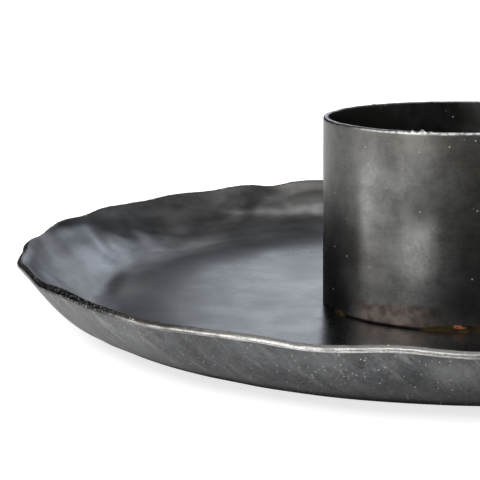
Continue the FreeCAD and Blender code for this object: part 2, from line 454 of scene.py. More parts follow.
def make_dish(material):
    """One hammered sheet: floor, wall, rim edge, outer wall and underside."""
    bearing = np.arange(DISH_COLUMNS) * 360.0 / DISH_COLUMNS
    turn = np.radians(bearing)
    lift, push = rim_shift(bearing)
    thinning = RIM_THINNING * (1.0 - smooth(stretch(bearing, *FULL_RIM)))
    tip_wear = TIP_WEAR * smooth(stretch(bearing, *TIP_STRETCH))
    twice = WALL_DENTS + random_dents()
    floor_height = ripples(*FLOOR_RIPPLES)
    edge_bumps = wave(*EDGE_BUMPS)(bearing)
    edge_wear = wave(*EDGE_WEAR)(bearing)
    bowl_share = np.exp(-((apart(bearing, BOWL_BEARING, 180.0) / BOWL_SPREAD) ** 2))
    bowl_share = BOWL_LEAST + (1.0 - BOWL_LEAST) * bowl_share

    def floor_wave(radius):
        started = between(radius, RIPPLE_START, RIPPLE_FULL)
        return started * floor_height(radius * np.cos(turn), radius * np.sin(turn))

    def swell(radius, share):
        """How far the inner face stands over the flat floor and the even wall, less its dents."""
        way = between(radius, BOWL_START, BOWL_END)
        first, last = BOWL_POWERS
        top = first / (first + last)
        bowl = (way / top) ** first * ((1.0 - way) / (1.0 - top)) ** last
        return bowl_share * BOWL_RISE * bowl + floor_wave(radius) * (1.0 - max(0.0, share))

    def dents(share):
        return dent_depth(bearing, share, twice, 180.0) + dent_depth(bearing, share, FRONT_DENTS, 360.0)

    def wall_ring(share, inner):
        """Ring on the wall's inner or outer face, square to its section."""
        radius, height, slope = wall_section(share)
        if inner:
            dent = dents(share) - SHEET + tip_wear * smooth(between(share, TIP_START, 1.0))
            height = height + swell(radius, share)
        else:
            dent = dents(share) * smooth(between(share, FADE_LOW, FADE_HIGH))
            dent = dent - thinning * smooth(between(share, THINNING_START, 1.0))
        radius = radius + push * share**2 + dent * math.sin(slope)
        height = height + lift * share**2 - dent * math.cos(slope)
        return radius, height

    def looks(share):
        """Marks of painted reflections and painted shade, and film, of the inner face along one level."""
        lists = {"painted_light_and_shade": INNER_MARKS, "film": FILM_MARKS}
        return {name: dent_depth(bearing, share, marks, 360.0) for name, marks in lists.items()}

    brown_share = sum(smooth(stretch(bearing, *zone)) for zone in BROWN_ZONES)
    rows = []
    names = ("edge", "worn", "inside", "floor", "painted_underside_shade", "painted_light_and_shade", "brown", "film")
    values = {name: [] for name in names}

    def add(radius, height, **given):
        rows.append(ring_of(bearing, radius, height))
        for name, column in values.items():
            column.append(np.broadcast_to(given.get(name, 0.0), bearing.shape))

    for radius in FLOOR_STEPS:
        share = (radius - BASE_RADIUS) / WALL_LENGTH
        height = SHEET + swell(radius, share) - dents(share)
        add(radius, height, inside=1.0, floor=1.0, **looks(share))
    for share in np.linspace(0.0, WALL_END, INNER_WALL_ROWS):
        brown = brown_share * smooth(between(share, BROWN_START, BROWN_FULL))
        floor = between(share, FLOOR_FADE, 0.0)
        add(*wall_ring(share, True), inside=1.0, floor=floor, brown=brown, **looks(share))

    rim_radius, rim_height, rim_slope = wall_section(1.0)
    along = (math.cos(rim_slope), math.sin(rim_slope))
    across = (-math.sin(rim_slope), math.cos(rim_slope))
    corner = OUTER_CORNER * (1.0 + edge_wear)
    section = rim_section()
    for place, (inner_share, over, below, outer) in enumerate(section):
        size = corner if outer else 1.0
        bumps = edge_bumps * (1.0 if 0 < place < len(section) - 1 else END_BUMPS)
        over = thinning + inner_share * (SHEET - tip_wear - thinning) + over * size
        below = below * size - bumps
        radius = rim_radius + push + over * across[0] - below * along[0]
        height = rim_height + lift + over * across[1] - below * along[1]
        add(radius, height, edge=1.0, worn=float(outer))
    for share in np.linspace(WALL_END, 0.0, OUTER_WALL_ROWS):
        # painted shade that darkens the outer wall towards the underside
        painted_underside_shade = between(share, PAINTED_SHADE_START, PAINTED_SHADE_END)
        # painted reflections and painted shade on the outer face
        painted_light_and_shade = dent_depth(bearing, share, OUTER_MARKS, 360.0)
        add(*wall_ring(share, False), painted_underside_shade=painted_underside_shade, painted_light_and_shade=painted_light_and_shade)
    # the underside is fully covered by painted shade
    for radius in UNDERSIDE_STEPS:
        add(radius, 0.0, painted_underside_shade=1.0)

    poles = ((0.0, 0.0, SHEET * MM), (0.0, 0.0, 0.0))
    for name, zones in RIM_ZONES.items():
        values[name] = any_stretch(bearing, zones, RIM_EASE)
    return grid_piece("hammered_dish", rows, material, values, poles=poles)


# Cup

CUP_COLUMNS = 600
CUP_ROWS = 72
CUP_INNER_ROWS = 24
# Fewest and most swings a turn, and height, of the cup's roundness, its mouth and the mouth's roughness
CUP_WAVE = (2, 5, 0.06)
MOUTH_WAVE = (5, 40, 0.08)
MOUTH_BUMPS = (60, 240, 0.025)
MOUTH_FADE = 4  # power by which the mouth's wave fades down the wall
SEAM_BEARING = 60.0
SEAM_WIDTH = 0.8
FOOT_DROP = 0.15  # of the cup's foot towards the floor, which leaves a fine gap
MOUTH_CORNER = 0.40  # radius of the mouth's outer corner
MOUTH_BAND = 0.64  # below the mouth, where the plain wall starts
INNER_MOUTH = 0.2  # radius of its inner corner
INNER_SHINE = 0.2  # and how worn that is
# Burrs that the saw has left on the mouth: bearing, height and half width in degrees
MOUTH_BURRS = [
    (244.5, 0.20, 0.6),
    (250.5, 0.30, 0.8),
    (254.5, 0.50, 1.2),
    (258.0, 0.20, 0.7),
    (21.0, 0.20, 1.2),
    (133.0, 0.18, 1.0),
]
MOUTH_RISE = 0.15  # of the uneven mouth over the CAD model's
DULL_MOUTH = [(190.0, 10.0, 8.0), (226.0, 8.0, 8.0)]  # dull filed edge: bearing, half width and ease
DULL_SHARE = 0.55  # of the edge's shine that is lost there
# Low ridges that rolling has left: bearing, height of the middle, half height, crown and width in degrees
CUP_RIDGES = [
    (227.6, 24.0, 15.0, 0.14, 6.0),
    (261.6, 19.0, 8.5, 0.10, 6.0),
    (296.0, 26.0, 14.0, 0.18, 7.0),
    (331.0, 18.0, 10.0, 0.22, 6.0),
    (12.0, 25.0, 14.0, 0.18, 7.0),
    (92.0, 20.0, 12.0, 0.20, 6.0),
    (131.0, 28.0, 10.0, 0.18, 7.0),
    (166.0, 17.0, 11.0, 0.20, 6.0),
    (196.0, 30.0, 9.0, 0.12, 7.0),
]
RIDGE_EASE = 1.6  # degrees over which a ridge is rounded
# Shallow dents: bearing, height of the middle, half width and half height in millimetres, and depth
CUP_DENTS = [
    (253.0, 25.5, 6.5, 7.5, 0.50),
    (310.0, 22.0, 6.0, 6.0, 0.20),
    (115.0, 18.0, 7.0, 5.0, 0.22),
    (180.0, 24.0, 6.0, 6.0, 0.18),
    (30.0, 28.0, 6.0, 5.0, 0.18),
]
# Light marks that paint reflections and dark ones that paint shade: bearing, height, half width, half
# height and strength
CUP_MARKS = [
    (231, 25.0, 2.6, 13.0, 0.45),  # light band beside the first ridge
    (224, 19.0, 2.0, 9.0, -0.25),  # and its dark side
    (222, 34.0, 8.0, 8.0, 0.32),  # light wall above it
    (236, 42.0, 8.0, 5.0, -0.30),  # dark below the mouth
    (248, 33.0, 2.6, 3.5, 0.40),  # light slanting mark
    (259, 41.0, 4.0, 4.0, 0.25),  # and where it starts, below the mouth
    (242, 38.0, 3.0, 5.0, -0.25),  # dark wall beside it
    (257, 28.0, 7.0, 3.0, -0.40),  # dark band between it and the worn patch
    (257, 17.5, 4.6, 7.5, 0.70),  # light patch beside the second ridge
    (269, 35.0, 4.0, 4.0, 0.35),  # light spot high on the right
    (272, 8.0, 4.0, 3.0, -0.60),  # dark spot low on the right
    (278, 11.0, 8.5, 17.0, -0.62),  # dark front
    (244, 24.0, 2.0, 6.0, -0.25),  # dark wall between band and patch
    (257, 4.5, 5.0, 3.0, -0.30),  # dark end of the stain
]
# Where the foot is stained: bearing and half width
HEAT_ZONES = [(244.0, 19.0), (150.0, 14.0), (90.0, 11.0), (32.0, 15.0), (328.0, 12.0)]
HEAT_EASE = 10.0  # degrees over which the stains start and end
STAIN_TOP, STAIN_FULL = 4.9, 4.0  # heights over the foot between which they start
STAIN_RAGGED = 3.0  # unevenness of that height


def cup_spots(bearing, level, spots):
    """Depth of all the dents, or strength of all the marks, at one height."""
    total = np.zeros_like(bearing)
    for middle, height, half_width, half_height, strength in spots:
        aside = np.radians(apart(bearing, middle)) * CUP_RADIUS / half_width
        total += strength * np.exp(-(aside**2) - ((level - height) / half_height) ** 2)
    return total


def cup_shape(bearing, level):
    """How far the rolled wall lies inside its circle at one height."""
    inward = cup_spots(bearing, level, CUP_DENTS)
    for middle, height, half_height, crown, width in CUP_RIDGES:
        away = np.sqrt(apart(bearing, middle) ** 2 + RIDGE_EASE**2) - RIDGE_EASE
        inward -= crown * np.exp(-away / width) * math.exp(-(((level - height) / half_height) ** 2))
    return inward


def make_cup(material):
    """Rolled strip with an open seam, a filed mouth and slight creases from the rolls."""
    half_gap = math.degrees(SEAM_WIDTH / 2 / BORE_RADIUS)
    bearing = np.linspace(SEAM_BEARING + half_gap, SEAM_BEARING + 360 - half_gap, CUP_COLUMNS)
    roundness = wave(*CUP_WAVE)(bearing)
    mouth_wave = wave(*MOUTH_WAVE)(bearing)
    mouth_burr = wave(*MOUTH_BUMPS)(bearing)
    for middle, height, width in MOUTH_BURRS:
        mouth_burr = mouth_burr + height * np.exp(-((apart(bearing, middle) / width) ** 2))
    shine = 1.0 - DULL_SHARE * sum(smooth(stretch(bearing, *zone)) for zone in DULL_MOUTH)
    wall_top = CUP_TOP + MOUTH_RISE
    foot = CUP_FOOT - FOOT_DROP
    rows = []
    values = {"outside": [], "mouth": [], "painted_light_and_shade": []}

    def add(radius, height, outside=0.0, mouth=0.0):
        level = float(np.mean(height))
        rows.append(ring_of(bearing, radius - (roundness + cup_shape(bearing, level)), height))
        values["outside"].append(np.full(CUP_COLUMNS, outside))
        values["mouth"].append(mouth * shine)
        # painted reflections and painted shade on the cup's outer face
        values["painted_light_and_shade"].append(outside * cup_spots(bearing, level, CUP_MARKS))

    def uneven(level):
        """Heights of a ring of the wall, which follows the mouth's wave near the mouth."""
        return level + mouth_wave * ((level - CUP_FOOT) / (wall_top - CUP_FOOT)) ** MOUTH_FADE

    for level in np.linspace(foot, wall_top - MOUTH_CORNER, CUP_INNER_ROWS):
        add(BORE_RADIUS, uneven(level))
    corner = np.radians([25.0, 60.0, 90.0])
    for angle in corner:
        radius = BORE_RADIUS + INNER_MOUTH * (1 - math.cos(angle))
        add(radius, wall_top - INNER_MOUTH * (1 - math.sin(angle)) + mouth_wave, mouth=INNER_SHINE)
    worn = MOUTH_CORNER + mouth_burr
    for angle in corner[::-1]:
        radius = CUP_RADIUS - worn * (1 - math.cos(angle))
        height = wall_top - worn * (1 - math.sin(angle)) + mouth_wave + mouth_burr
        add(radius, height, outside=1.0, mouth=1.0)
    for level in np.linspace(wall_top - MOUTH_BAND, foot, CUP_ROWS):
        add(CUP_RADIUS, uneven(level), outside=1.0)

    values["tempered"] = any_stretch(bearing, HEAT_ZONES, HEAT_EASE)
    return grid_piece("rolled_cup", rows, material, values, closed=False, tube=True)


# Braze

# Each tack's node, the bearing of its middle and the angle that it covers, as in the CAD model, and
# how full it is
TACKS = [
    ("base_braze_front", 272.0, 34.0, 1.0),
    ("base_braze_front_left", 213.0, 9.0, 0.5),
    ("base_braze_back_left", 150.0, 16.0, 1.0),
    ("base_braze_back", 90.0, 13.0, 0.8),
    ("base_braze_back_right", 32.0, 18.0, 1.0),
    ("base_braze_front_right", 328.0, 12.0, 0.8),
]
TACK_REACH = 1.1  # over the floor
TACK_UNDER = 0.9  # reach under the cup's foot
TACK_SINK = 0.05  # into the floor and the cup, so that no gap shows
TACK_SKIN = 0.06  # thickness at its upper edge
TACK_LEAST = 0.06  # share of the full size that is left at its ends
TACK_BODY = 0.9  # power of its swelling between them
TACK_LUMPS = (3, 9, 0.16)  # fewest and most swings along it, and size
TACK_LUMP_LIMITS = (0.6, 1.25)
TACK_HOLLOW = 0.35  # share by which its face sags between cup and floor
TACK_ROWS = 9
TACK_COLUMNS = 24  # at least
TACK_FINENESS = 4  # columns to a degree
FLECK_BEARING = 270.7  # of the one bright fleck, high on the front tack
FLECK_WIDTH = 2.6  # degrees
FLECK_ROWS = range(3, 7)  # the tack's upper rows
SEAM_CROWN = 0.3
SEAM_HALF = 1.2  # half the width of the bead
SEAM_SKIN = 0.06  # depth of its edges in the cup's wall
SEAM_NECK = 0.1  # and of its sides
SEAM_ENDS = (0.05, 0.75)  # what it leaves free at the cup's foot and mouth
SEAM_COLUMNS, SEAM_ROWS = 120, 11
SEAM_RIPPLE = (0.25, 1.3)  # height and length of its ripples
SEAM_RIPPLE_LIMITS = (0.4, 1.2)
SEAM_LUMPS = (2, 7, 0.2)  # of the ripples' height, in the terms of TACK_LUMPS
SEAM_SPREAD = (2, 9, 0.10)  # and of the bead's width
SEAM_TURN = 8  # degrees of these waves to a millimetre


def make_tack(node, middle, angle, fullness, material):
    """Lump of braze in the corner between the cup and the floor, thinning out at both ends."""
    way = np.linspace(-1.0, 1.0, max(TACK_COLUMNS, int(angle * TACK_FINENESS)))
    bearing = middle + way * angle / 2
    body = np.clip(1.0 - way**2, 0.0, 1.0) ** TACK_BODY
    lumps = 1.0 + wave(*TACK_LUMPS)(way * 180)
    size = TACK_LEAST + (fullness - TACK_LEAST) * body * np.clip(lumps, *TACK_LUMP_LIMITS)
    floor = SHEET - TACK_SINK
    wall = CUP_RADIUS - cup_shape(bearing, CUP_FOOT) - TACK_SINK
    rise = (TACK_TOP - CUP_FOOT) * size
    reach = TACK_REACH * size
    rows = [ring_of(bearing, wall - TACK_UNDER, height) for height in (floor, CUP_FOOT)]
    rows += [ring_of(bearing, wall, height) for height in (CUP_FOOT, CUP_FOOT + rise)]
    for share in np.linspace(0.0, 1.0, TACK_ROWS):
        hollow = 1.0 - TACK_HOLLOW * math.sin(math.pi * share)
        out = reach * share * hollow
        up = (CUP_FOOT + rise - SHEET) * (1.0 - share) * hollow
        rows.append(ring_of(bearing, wall + TACK_SKIN + out, SHEET + up))
    rows.append(ring_of(bearing, wall + TACK_SKIN + reach, floor))
    fleck = np.exp(-(((bearing - FLECK_BEARING) / FLECK_WIDTH) ** 2))
    tops = [1.0 if place in FLECK_ROWS else 0.0 for place in range(len(rows))]
    name = node.replace("base_braze", "braze_tack")
    return grid_piece(name, rows, material, {"copper": np.outer(tops, fleck)}, closed=False, tube=True)


def make_seam(material):
    """Braze that fills the cup's seam, with a low rippled bead on the outside."""
    levels = np.linspace(CUP_FOOT + SEAM_ENDS[0], CUP_TOP - SEAM_ENDS[1], SEAM_COLUMNS)
    turn = math.radians(SEAM_BEARING)
    outward = np.array([math.cos(turn), math.sin(turn), 0.0])
    sideways = np.array([-math.sin(turn), math.cos(turn), 0.0])
    height, length = SEAM_RIPPLE
    ripple = 1.0 + height * np.sin(levels * 2 * math.pi / length) + wave(*SEAM_LUMPS)(levels * SEAM_TURN)
    spread = 1.0 + wave(*SEAM_SPREAD)(levels * SEAM_TURN)
    half_gap = SEAM_WIDTH / 2

    def row(side, distance):
        flat = np.outer(distance, outward) + np.outer(side, sideways)
        flat[:, 2] = levels
        return flat * MM

    ones = np.ones_like(levels)
    neck = (CUP_RADIUS - SEAM_NECK) * ones
    rows = [row(-half_gap * ones, BORE_RADIUS * ones), row(-half_gap * ones, neck)]
    for share in np.linspace(-1.0, 1.0, SEAM_ROWS):
        side = share * SEAM_HALF * spread
        skin = np.sqrt(CUP_RADIUS**2 - side**2) - SEAM_SKIN
        crown = (SEAM_CROWN + SEAM_SKIN) * (1 - share**2) * np.clip(ripple, *SEAM_RIPPLE_LIMITS)
        rows.append(row(side, skin + crown))
    rows += [row(half_gap * ones, neck), row(half_gap * ones, BORE_RADIUS * ones)]
    return grid_piece("cup_seam_bead", rows, material, {"clean": 1.0}, closed=False, tube=True)


# Materials

SPECK_CORE = 0.5  # share of a speck's radius that is solid
SPECK_EASE = 0.02  # share of the cells with faint specks


class Nodes:
    """Short calls for building the node tree of a material or of the world."""

    def __init__(self, owner, end="ShaderNodeOutputMaterial"):
        owner.use_nodes = True
        self.owner = owner
        self.tree = owner.node_tree
        self.tree.nodes.clear()
        self.output = self.tree.nodes.new(end)

    def add(self, kind, inputs=None, **settings):
        """Adds a node, fills its inputs with values or other nodes' sockets, and gives its outputs."""
        node = self.tree.nodes.new("ShaderNode" + kind)
        for key, value in settings.items():
            setattr(node, key, value)
        for key, value in (inputs or {}).items():
            socket = node.inputs[key]
            if isinstance(value, bpy.types.NodeSocket):
                self.tree.links.new(value, socket)
            else:
                socket.default_value = (*value, 1.0) if socket.type == "RGBA" else value
        return node.outputs

    def math(self, operation, *values):
        return self.add("Math", dict(enumerate(values)), operation=operation)[0]

    times = partialmethod(math, "MULTIPLY")
    plus = partialmethod(math, "ADD")
    most = partialmethod(math, "MAXIMUM")
    rest = partialmethod(math, "SUBTRACT", 1.0)

    def step(self, value, low, high, bottom=0.0, top=1.0):
        """Smooth rise from bottom at low to top at high."""
        ends = {"From Min": low, "From Max": high, "To Min": bottom, "To Max": top}
        return self.add("MapRange", {"Value": value, **ends}, interpolation_type="SMOOTHSTEP")[0]

    def mix(self, share, first, second, blend="MIX"):
        """Blend of two colours, which are the node's inputs 6 and 7 and its output 2."""
        inputs = {"Factor": share, 6: first, 7: second}
        return self.add("Mix", inputs, data_type="RGBA", blend_type=blend)[2]

    def scaled(self, colour, factor):
        """A colour times a number."""
        return self.add("VectorMath", {0: colour, "Scale": factor}, operation="SCALE")[0]

    def value(self, name):
        """One of the numbers that the mesh stores."""
        return self.add("Attribute", attribute_name=name)["Fac"]

    def place(self):
        """Position in metres, in the frame of the CAD model."""
        return self.add("TexCoord")["Object"]

    def away(self):
        """Distance in metres from the middle of the table."""
        return self.add("VectorMath", {0: self.place()}, operation="LENGTH")["Value"]

    def along(self):
        """Millimetres round the piece and across its rings."""
        return self.add("UVMap", uv_map="along")[0]

    def noise(self, vector, scale, detail=3.0, rough=0.5):
        inputs = {"Vector": vector, "Scale": scale, "Detail": detail, "Roughness": rough}
        return self.add("TexNoise", inputs)[0]

    def streaks(self, vector, scale, detail=3.0, rough=0.5, turn=0.0):
        """Noise that is stretched by its own scale each way, after a turn about Z in degrees."""
        turned = self.add("Mapping", {"Vector": vector, "Rotation": (0.0, 0.0, math.radians(turn))})[0]
        return self.noise(self.add("Mapping", {"Vector": turned, "Scale": scale})[0], 1.0, detail, rough)

    def dots(self, vector, scale, size, share):
        """Small round specks in a share of the cells of a flat grid."""
        cells = self.add("TexVoronoi", {"Vector": vector, "Scale": scale}, voronoi_dimensions="2D")
        chance = self.add("SeparateColor", {0: cells["Color"]})[0]
        spot = self.step(cells["Distance"], size, size * SPECK_CORE)
        return self.times(spot, self.step(chance, 1.0 - share, 1.0 - share + SPECK_EASE))

    def bump(self, height, strength, distance):
        return self.add("Bump", {"Height": height, "Strength": strength, "Distance": distance})[0]

    def finish(self, kind, **sockets):
        """Ends the tree with a shader."""
        inputs = {name.replace("_", " "): value for name, value in sockets.items()}
        self.tree.links.new(self.add(kind, inputs)[0], self.output.inputs["Surface"])


def dish_steel():
    """Blackened, waxed steel: smoky mottling, brown tints, scratches, pale specks and a worn rim edge,
    with painted reflections and painted shade, and painted shade on the lower outer wall and underside.
    """
    n = Nodes(bpy.data.materials.new("blackened_steel"))
    place = n.place()
    along = n.along()
    inside = n.value("inside")
    floor = n.value("floor")
    broad = n.noise(place, 28.0, 3.0)
    cloud = n.noise(place, 110.0, 4.0, 0.6)
    smoke = n.streaks(along, (0.075, 0.19, 1.0), 4.0, 0.55)
    grain = n.noise(place, 1400.0, 2.0)

    outer = n.mix(n.step(cloud, 0.3, 0.75), (0.090, 0.094, 0.099), (0.190, 0.195, 0.202))
    outer = n.mix(n.step(broad, 0.46, 0.64, 0.0, 0.70), outer, (0.150, 0.138, 0.122))
    haze = n.streaks(along, (0.10, 0.30, 1.0), 4.0, 0.6, turn=-62.0)
    outer = n.mix(n.step(haze, 0.53, 0.70, 0.0, 0.85), outer, (0.310, 0.314, 0.320))
    outer = n.mix(n.step(haze, 0.48, 0.30, 0.0, 0.85), outer, (0.070, 0.066, 0.061))

    inner = n.mix(n.step(smoke, 0.30, 0.70), (0.098, 0.105, 0.115), (0.200, 0.212, 0.232))
    inner = n.mix(n.step(broad, 0.55, 0.75, 0.0, 0.35), inner, (0.150, 0.145, 0.138))
    smear = n.streaks(place, (22.0, 90.0, 60.0), 2.0, 0.5, turn=5.0)
    brushed = n.mix(n.step(smear, 0.25, 0.75), (0.140, 0.147, 0.156), (0.172, 0.181, 0.193))
    inner = n.mix(floor, inner, brushed)
    inner = n.mix(n.value("brown"), inner, (1.03, 0.97, 0.88), "MULTIPLY")
    tone = n.mix(inside, outer, inner)
    plain = n.rest(inside)
    coarse = n.times(n.step(grain, 0.35, 0.7, 0.0, 0.34), plain)
    tone = n.mix(coarse, tone, (0.25, 0.25, 0.245))

    slant = n.streaks(along, (0.10, 2.6, 1.0), 3.0, turn=-70.0)
    back_slant = n.streaks(along, (0.10, 2.2, 1.0), 3.0, turn=58.0)
    hair = n.times(n.most(slant, back_slant), plain)
    scratch = n.times(n.step(hair, 0.60, 0.68), n.step(cloud, 0.40, 0.55))
    tone = n.mix(n.times(scratch, 0.28), tone, (0.34, 0.34, 0.33))
    # painted reflections and painted shade: the marks lighten or darken the tone
    tone = n.scaled(tone, n.math("EXPONENT", n.value("painted_light_and_shade")))
    # painted shade: the lower outer wall and the underside turn nearly black, dull and rough
    painted_underside_shade = n.value("painted_underside_shade")
    tone = n.mix(painted_underside_shade, tone, (0.008, 0.008, 0.008))

    uneven = n.times(n.math("SUBTRACT", n.noise(place, 1300.0, 3.0, 0.6), 0.5), 0.6)
    edge = n.step(n.plus(n.value("edge"), n.times(uneven, 0.5)), 0.45, 0.6)
    worn = n.step(n.plus(n.value("worn"), uneven), 0.40, 0.75)
    scale = n.step(n.plus(n.value("scale"), uneven), 0.25, 0.75)
    bare = n.step(n.plus(n.value("bare"), uneven), 0.3, 0.8)
    pits = n.step(n.noise(place, 2600.0, 3.0, 0.7), 0.30, 0.50)
    strand = n.streaks(along, (0.5, 8.0, 1.0), 3.0)
    brown = n.mix(n.step(strand, 0.35, 0.7), (0.035, 0.028, 0.022), (0.105, 0.088, 0.072))
    ground = n.mix(n.step(strand, 0.3, 0.7), (0.15, 0.142, 0.132), (0.29, 0.28, 0.265))
    face = n.mix(bare, brown, ground)
    chafe = n.streaks(along, (0.35, 3.5, 1.0), 4.0, 0.65)
    chafe = n.times(pits, n.step(chafe, 0.36, 0.56))
    shine = n.mix(chafe, (0.20, 0.19, 0.18), (0.50, 0.49, 0.475))
    shine = n.scaled(shine, n.step(n.value("bright"), 0.0, 1.0, 0.85, 1.75))
    rim = n.mix(worn, face, shine)
    speck = n.step(n.noise(place, 2600.0, 2.0), 0.56, 0.68)
    black = n.mix(speck, (0.016, 0.016, 0.016), (0.46, 0.45, 0.44))
    tone = n.mix(edge, tone, n.mix(scale, rim, black))

    clusters = n.step(n.noise(place, 75.0, 2.0), 0.38, 0.58)
    dust = n.most(n.dots(along, 0.45, 0.10, 0.24), n.dots(along, 0.95, 0.15, 0.14))
    dust = n.times(dust, clusters)
    dust = n.times(dust, n.rest(n.times(inside, 0.94)))
    colour = n.mix(dust, tone, (0.78, 0.75, 0.66))
    dull = n.times(edge, n.math("SUBTRACT", 0.9, n.times(worn, 0.6)))
    dull = n.times(dull, n.rest(n.times(scale, 0.5)))
    dull = n.most(dull, n.times(n.value("film"), 0.3))
    rough = n.plus(n.step(cloud, 0.2, 0.8, 0.28, 0.36), n.times(floor, -0.04))
    away = n.away()
    foot = n.times(*(n.step(away, low * MM, high * MM) for low, high in (DULL_RISE, DULL_FALL)))
    rough = n.plus(rough, n.times(n.times(foot, inside), DULL_FOOT))
    rough = n.plus(rough, n.times(dust, 0.5))
    rough = n.most(rough, n.times(painted_underside_shade, 0.95))
    height = n.times(grain, n.step(inside, 0.0, 1.0, 0.5, 0.0))
    height = n.plus(height, n.times(hair, 0.4))
    height = n.plus(height, n.times(n.times(pits, edge), 1.5))
    n.finish(
        "BsdfPrincipled",
        Base_Color=colour,
        Metallic=n.rest(n.most(n.most(dust, painted_underside_shade), dull)),
        Roughness=rough,
        Normal=n.bump(height, 0.12, 0.05 * MM),
    )
    return n.owner


def cup_steel():
    """Satin steel brushed round the cup, with painted reflections and painted shade, brown tints and heat
    marks at its foot.
    """
    n = Nodes(bpy.data.materials.new("satin_steel"))
    place = n.place()
    along = n.along()
    cloud = n.noise(place, 120.0, 4.0, 0.6)
    broad = n.noise(place, 45.0, 2.0)
    brush = n.streaks(along, (0.05, 5.0, 1.0), 3.0, 0.6)
    grain = n.noise(place, 1600.0, 2.0)
    tone = n.mix(n.step(cloud, 0.3, 0.75), (0.135, 0.135, 0.127), (0.240, 0.240, 0.229))
    tone = n.mix(n.step(broad, 0.5, 0.68, 0.0, 0.5), tone, (0.185, 0.165, 0.145))
    tone = n.mix(n.step(brush, 0.45, 0.75, 0.0, 0.34), tone, (0.28, 0.277, 0.265))
    tone = n.mix(n.step(grain, 0.4, 0.7, 0.0, 0.3), tone, (0.27, 0.265, 0.255))
    mottle = n.noise(place, 420.0, 3.0)
    tone = n.mix(n.step(mottle, 0.55, 0.35, 0.0, 0.30), tone, (0.10, 0.10, 0.10))

    level = n.add("SeparateXYZ", {0: place})[2]
    level = n.plus(level, n.times(n.math("SUBTRACT", cloud, 0.5), STAIN_RAGGED * MM))
    foot = n.step(level, (CUP_FOOT + STAIN_TOP) * MM, (CUP_FOOT + STAIN_FULL) * MM)
    stain = n.mix(n.step(mottle, 0.35, 0.65), (0.125, 0.096, 0.085), (0.260, 0.205, 0.175))
    tone = n.mix(n.times(foot, n.times(n.value("tempered"), 0.9)), tone, stain)

    # painted reflections and painted shade: the marks lighten or darken the tone
    tone = n.scaled(tone, n.math("EXPONENT", n.value("painted_light_and_shade")))
    outside = n.value("outside")
    smudge = n.mix(n.step(cloud, 0.45, 0.65), (0.068, 0.068, 0.062), (0.100, 0.103, 0.106))
    tone = n.mix(outside, smudge, tone)
    filed = n.step(n.noise(place, 900.0, 3.0), 0.4, 0.55)
    filed = n.mix(filed, (0.34, 0.335, 0.33), (0.80, 0.79, 0.77))
    tone = n.mix(n.value("mouth"), tone, filed)

    dust = n.most(n.dots(along, 0.16, 0.035, 0.28), n.dots(along, 0.45, 0.06, 0.03))
    colour = n.mix(dust, tone, (0.60, 0.58, 0.54))
    rough = n.plus(n.step(cloud, 0.2, 0.8, 0.30, 0.40), n.times(dust, 0.5))
    height = n.plus(n.times(grain, 0.4), n.times(brush, 0.45))
    n.finish(
        "BsdfPrincipled",
        Base_Color=colour,
        Metallic=n.rest(dust),
        Roughness=rough,
        Anisotropic=0.6,
        Anisotropic_Rotation=0.25,
        Tangent=n.add("Tangent", direction_type="RADIAL", axis="Z")[0],
        Normal=n.bump(height, 0.15, 0.05 * MM),
    )
    return n.owner


def braze_metal():
    """Braze: sooty brown tacks, one with a bright copper fleck, and a cleaner bead along the seam."""
    n = Nodes(bpy.data.materials.new("copper_braze"))
    place = n.place()
    cloud = n.noise(place, 500.0, 4.0, 0.6)
    fleck = n.step(n.noise(place, 500.0, 2.0), 0.36, 0.44)
    soot = n.mix(n.step(cloud, 0.35, 0.65), (0.010, 0.006, 0.002), (0.044, 0.028, 0.008))
    bead = n.mix(n.step(cloud, 0.35, 0.65), (0.060, 0.046, 0.032), (0.170, 0.130, 0.085))
    tone = n.mix(n.value("clean"), soot, bead)
    copper = n.times(fleck, n.step(n.value("copper"), 0.3, 0.6))
    tone = n.mix(copper, tone, (0.48, 0.16, 0.07))
    n.finish(
        "BsdfPrincipled",
        Base_Color=tone,
        Metallic=n.step(n.most(copper, n.value("clean")), 0.0, 1.0, 0.25, 0.85),
        Roughness=n.step(cloud, 0.2, 0.8, 0.6, 0.85),
        Specular_IOR_Level=0.2,
        Normal=n.bump(cloud, 0.3, 0.08 * MM),
    )
    return n.owner


# Stage

TABLE_COLUMNS = 64
TABLE_RINGS = (4.0, 1.0, 0.3)  # radii in metres
TABLE_NEAR, TABLE_FAR = 0.13, 0.40  # metres from the middle
CAMERA_WHITE, BACKDROP_WHITE = 0.75, 1.0  # white added for the camera, there
MIRROR_NEAR, MIRROR_FAR = 0.074, 0.100  # metres from the middle
MIRROR_WHITE = 0.20  # white added for reflections, which starts and is full there


def make_floor():
    """Wide white table, which keeps the holder's shadow."""
    n = Nodes(bpy.data.materials.new("table_white"))
    paper = n.mix(n.noise(n.place(), 40.0, 2.0), (0.80, 0.80, 0.80), (0.83, 0.83, 0.83))
    away = n.away()
    far = n.step(away, TABLE_NEAR, TABLE_FAR)
    path = n.add("LightPath")
    mirrored = n.most(path["Is Glossy Ray"], path["Is Transmission Ray"])
    clear = n.step(away, MIRROR_NEAR, MIRROR_FAR)
    mirrored = n.times(n.times(mirrored, clear), MIRROR_WHITE)
    seen = n.times(path["Is Camera Ray"], n.step(far, 0.0, 1.0, CAMERA_WHITE, BACKDROP_WHITE))
    n.finish(
        "BsdfPrincipled",
        Base_Color=paper,
        Roughness=0.9,
        Specular_IOR_Level=0.0,
        Emission_Color=(1.0, 1.0, 1.0),
        Emission_Strength=n.most(seen, mirrored),
    )
    bearing = np.arange(TABLE_COLUMNS) * 360.0 / TABLE_COLUMNS
    rings = [ring_of(bearing, radius / MM, 0.0) for radius in TABLE_RINGS]
    floor = grid_piece("table", rings, n.owner, poles=(None, (0.0, 0.0, 0.0)))


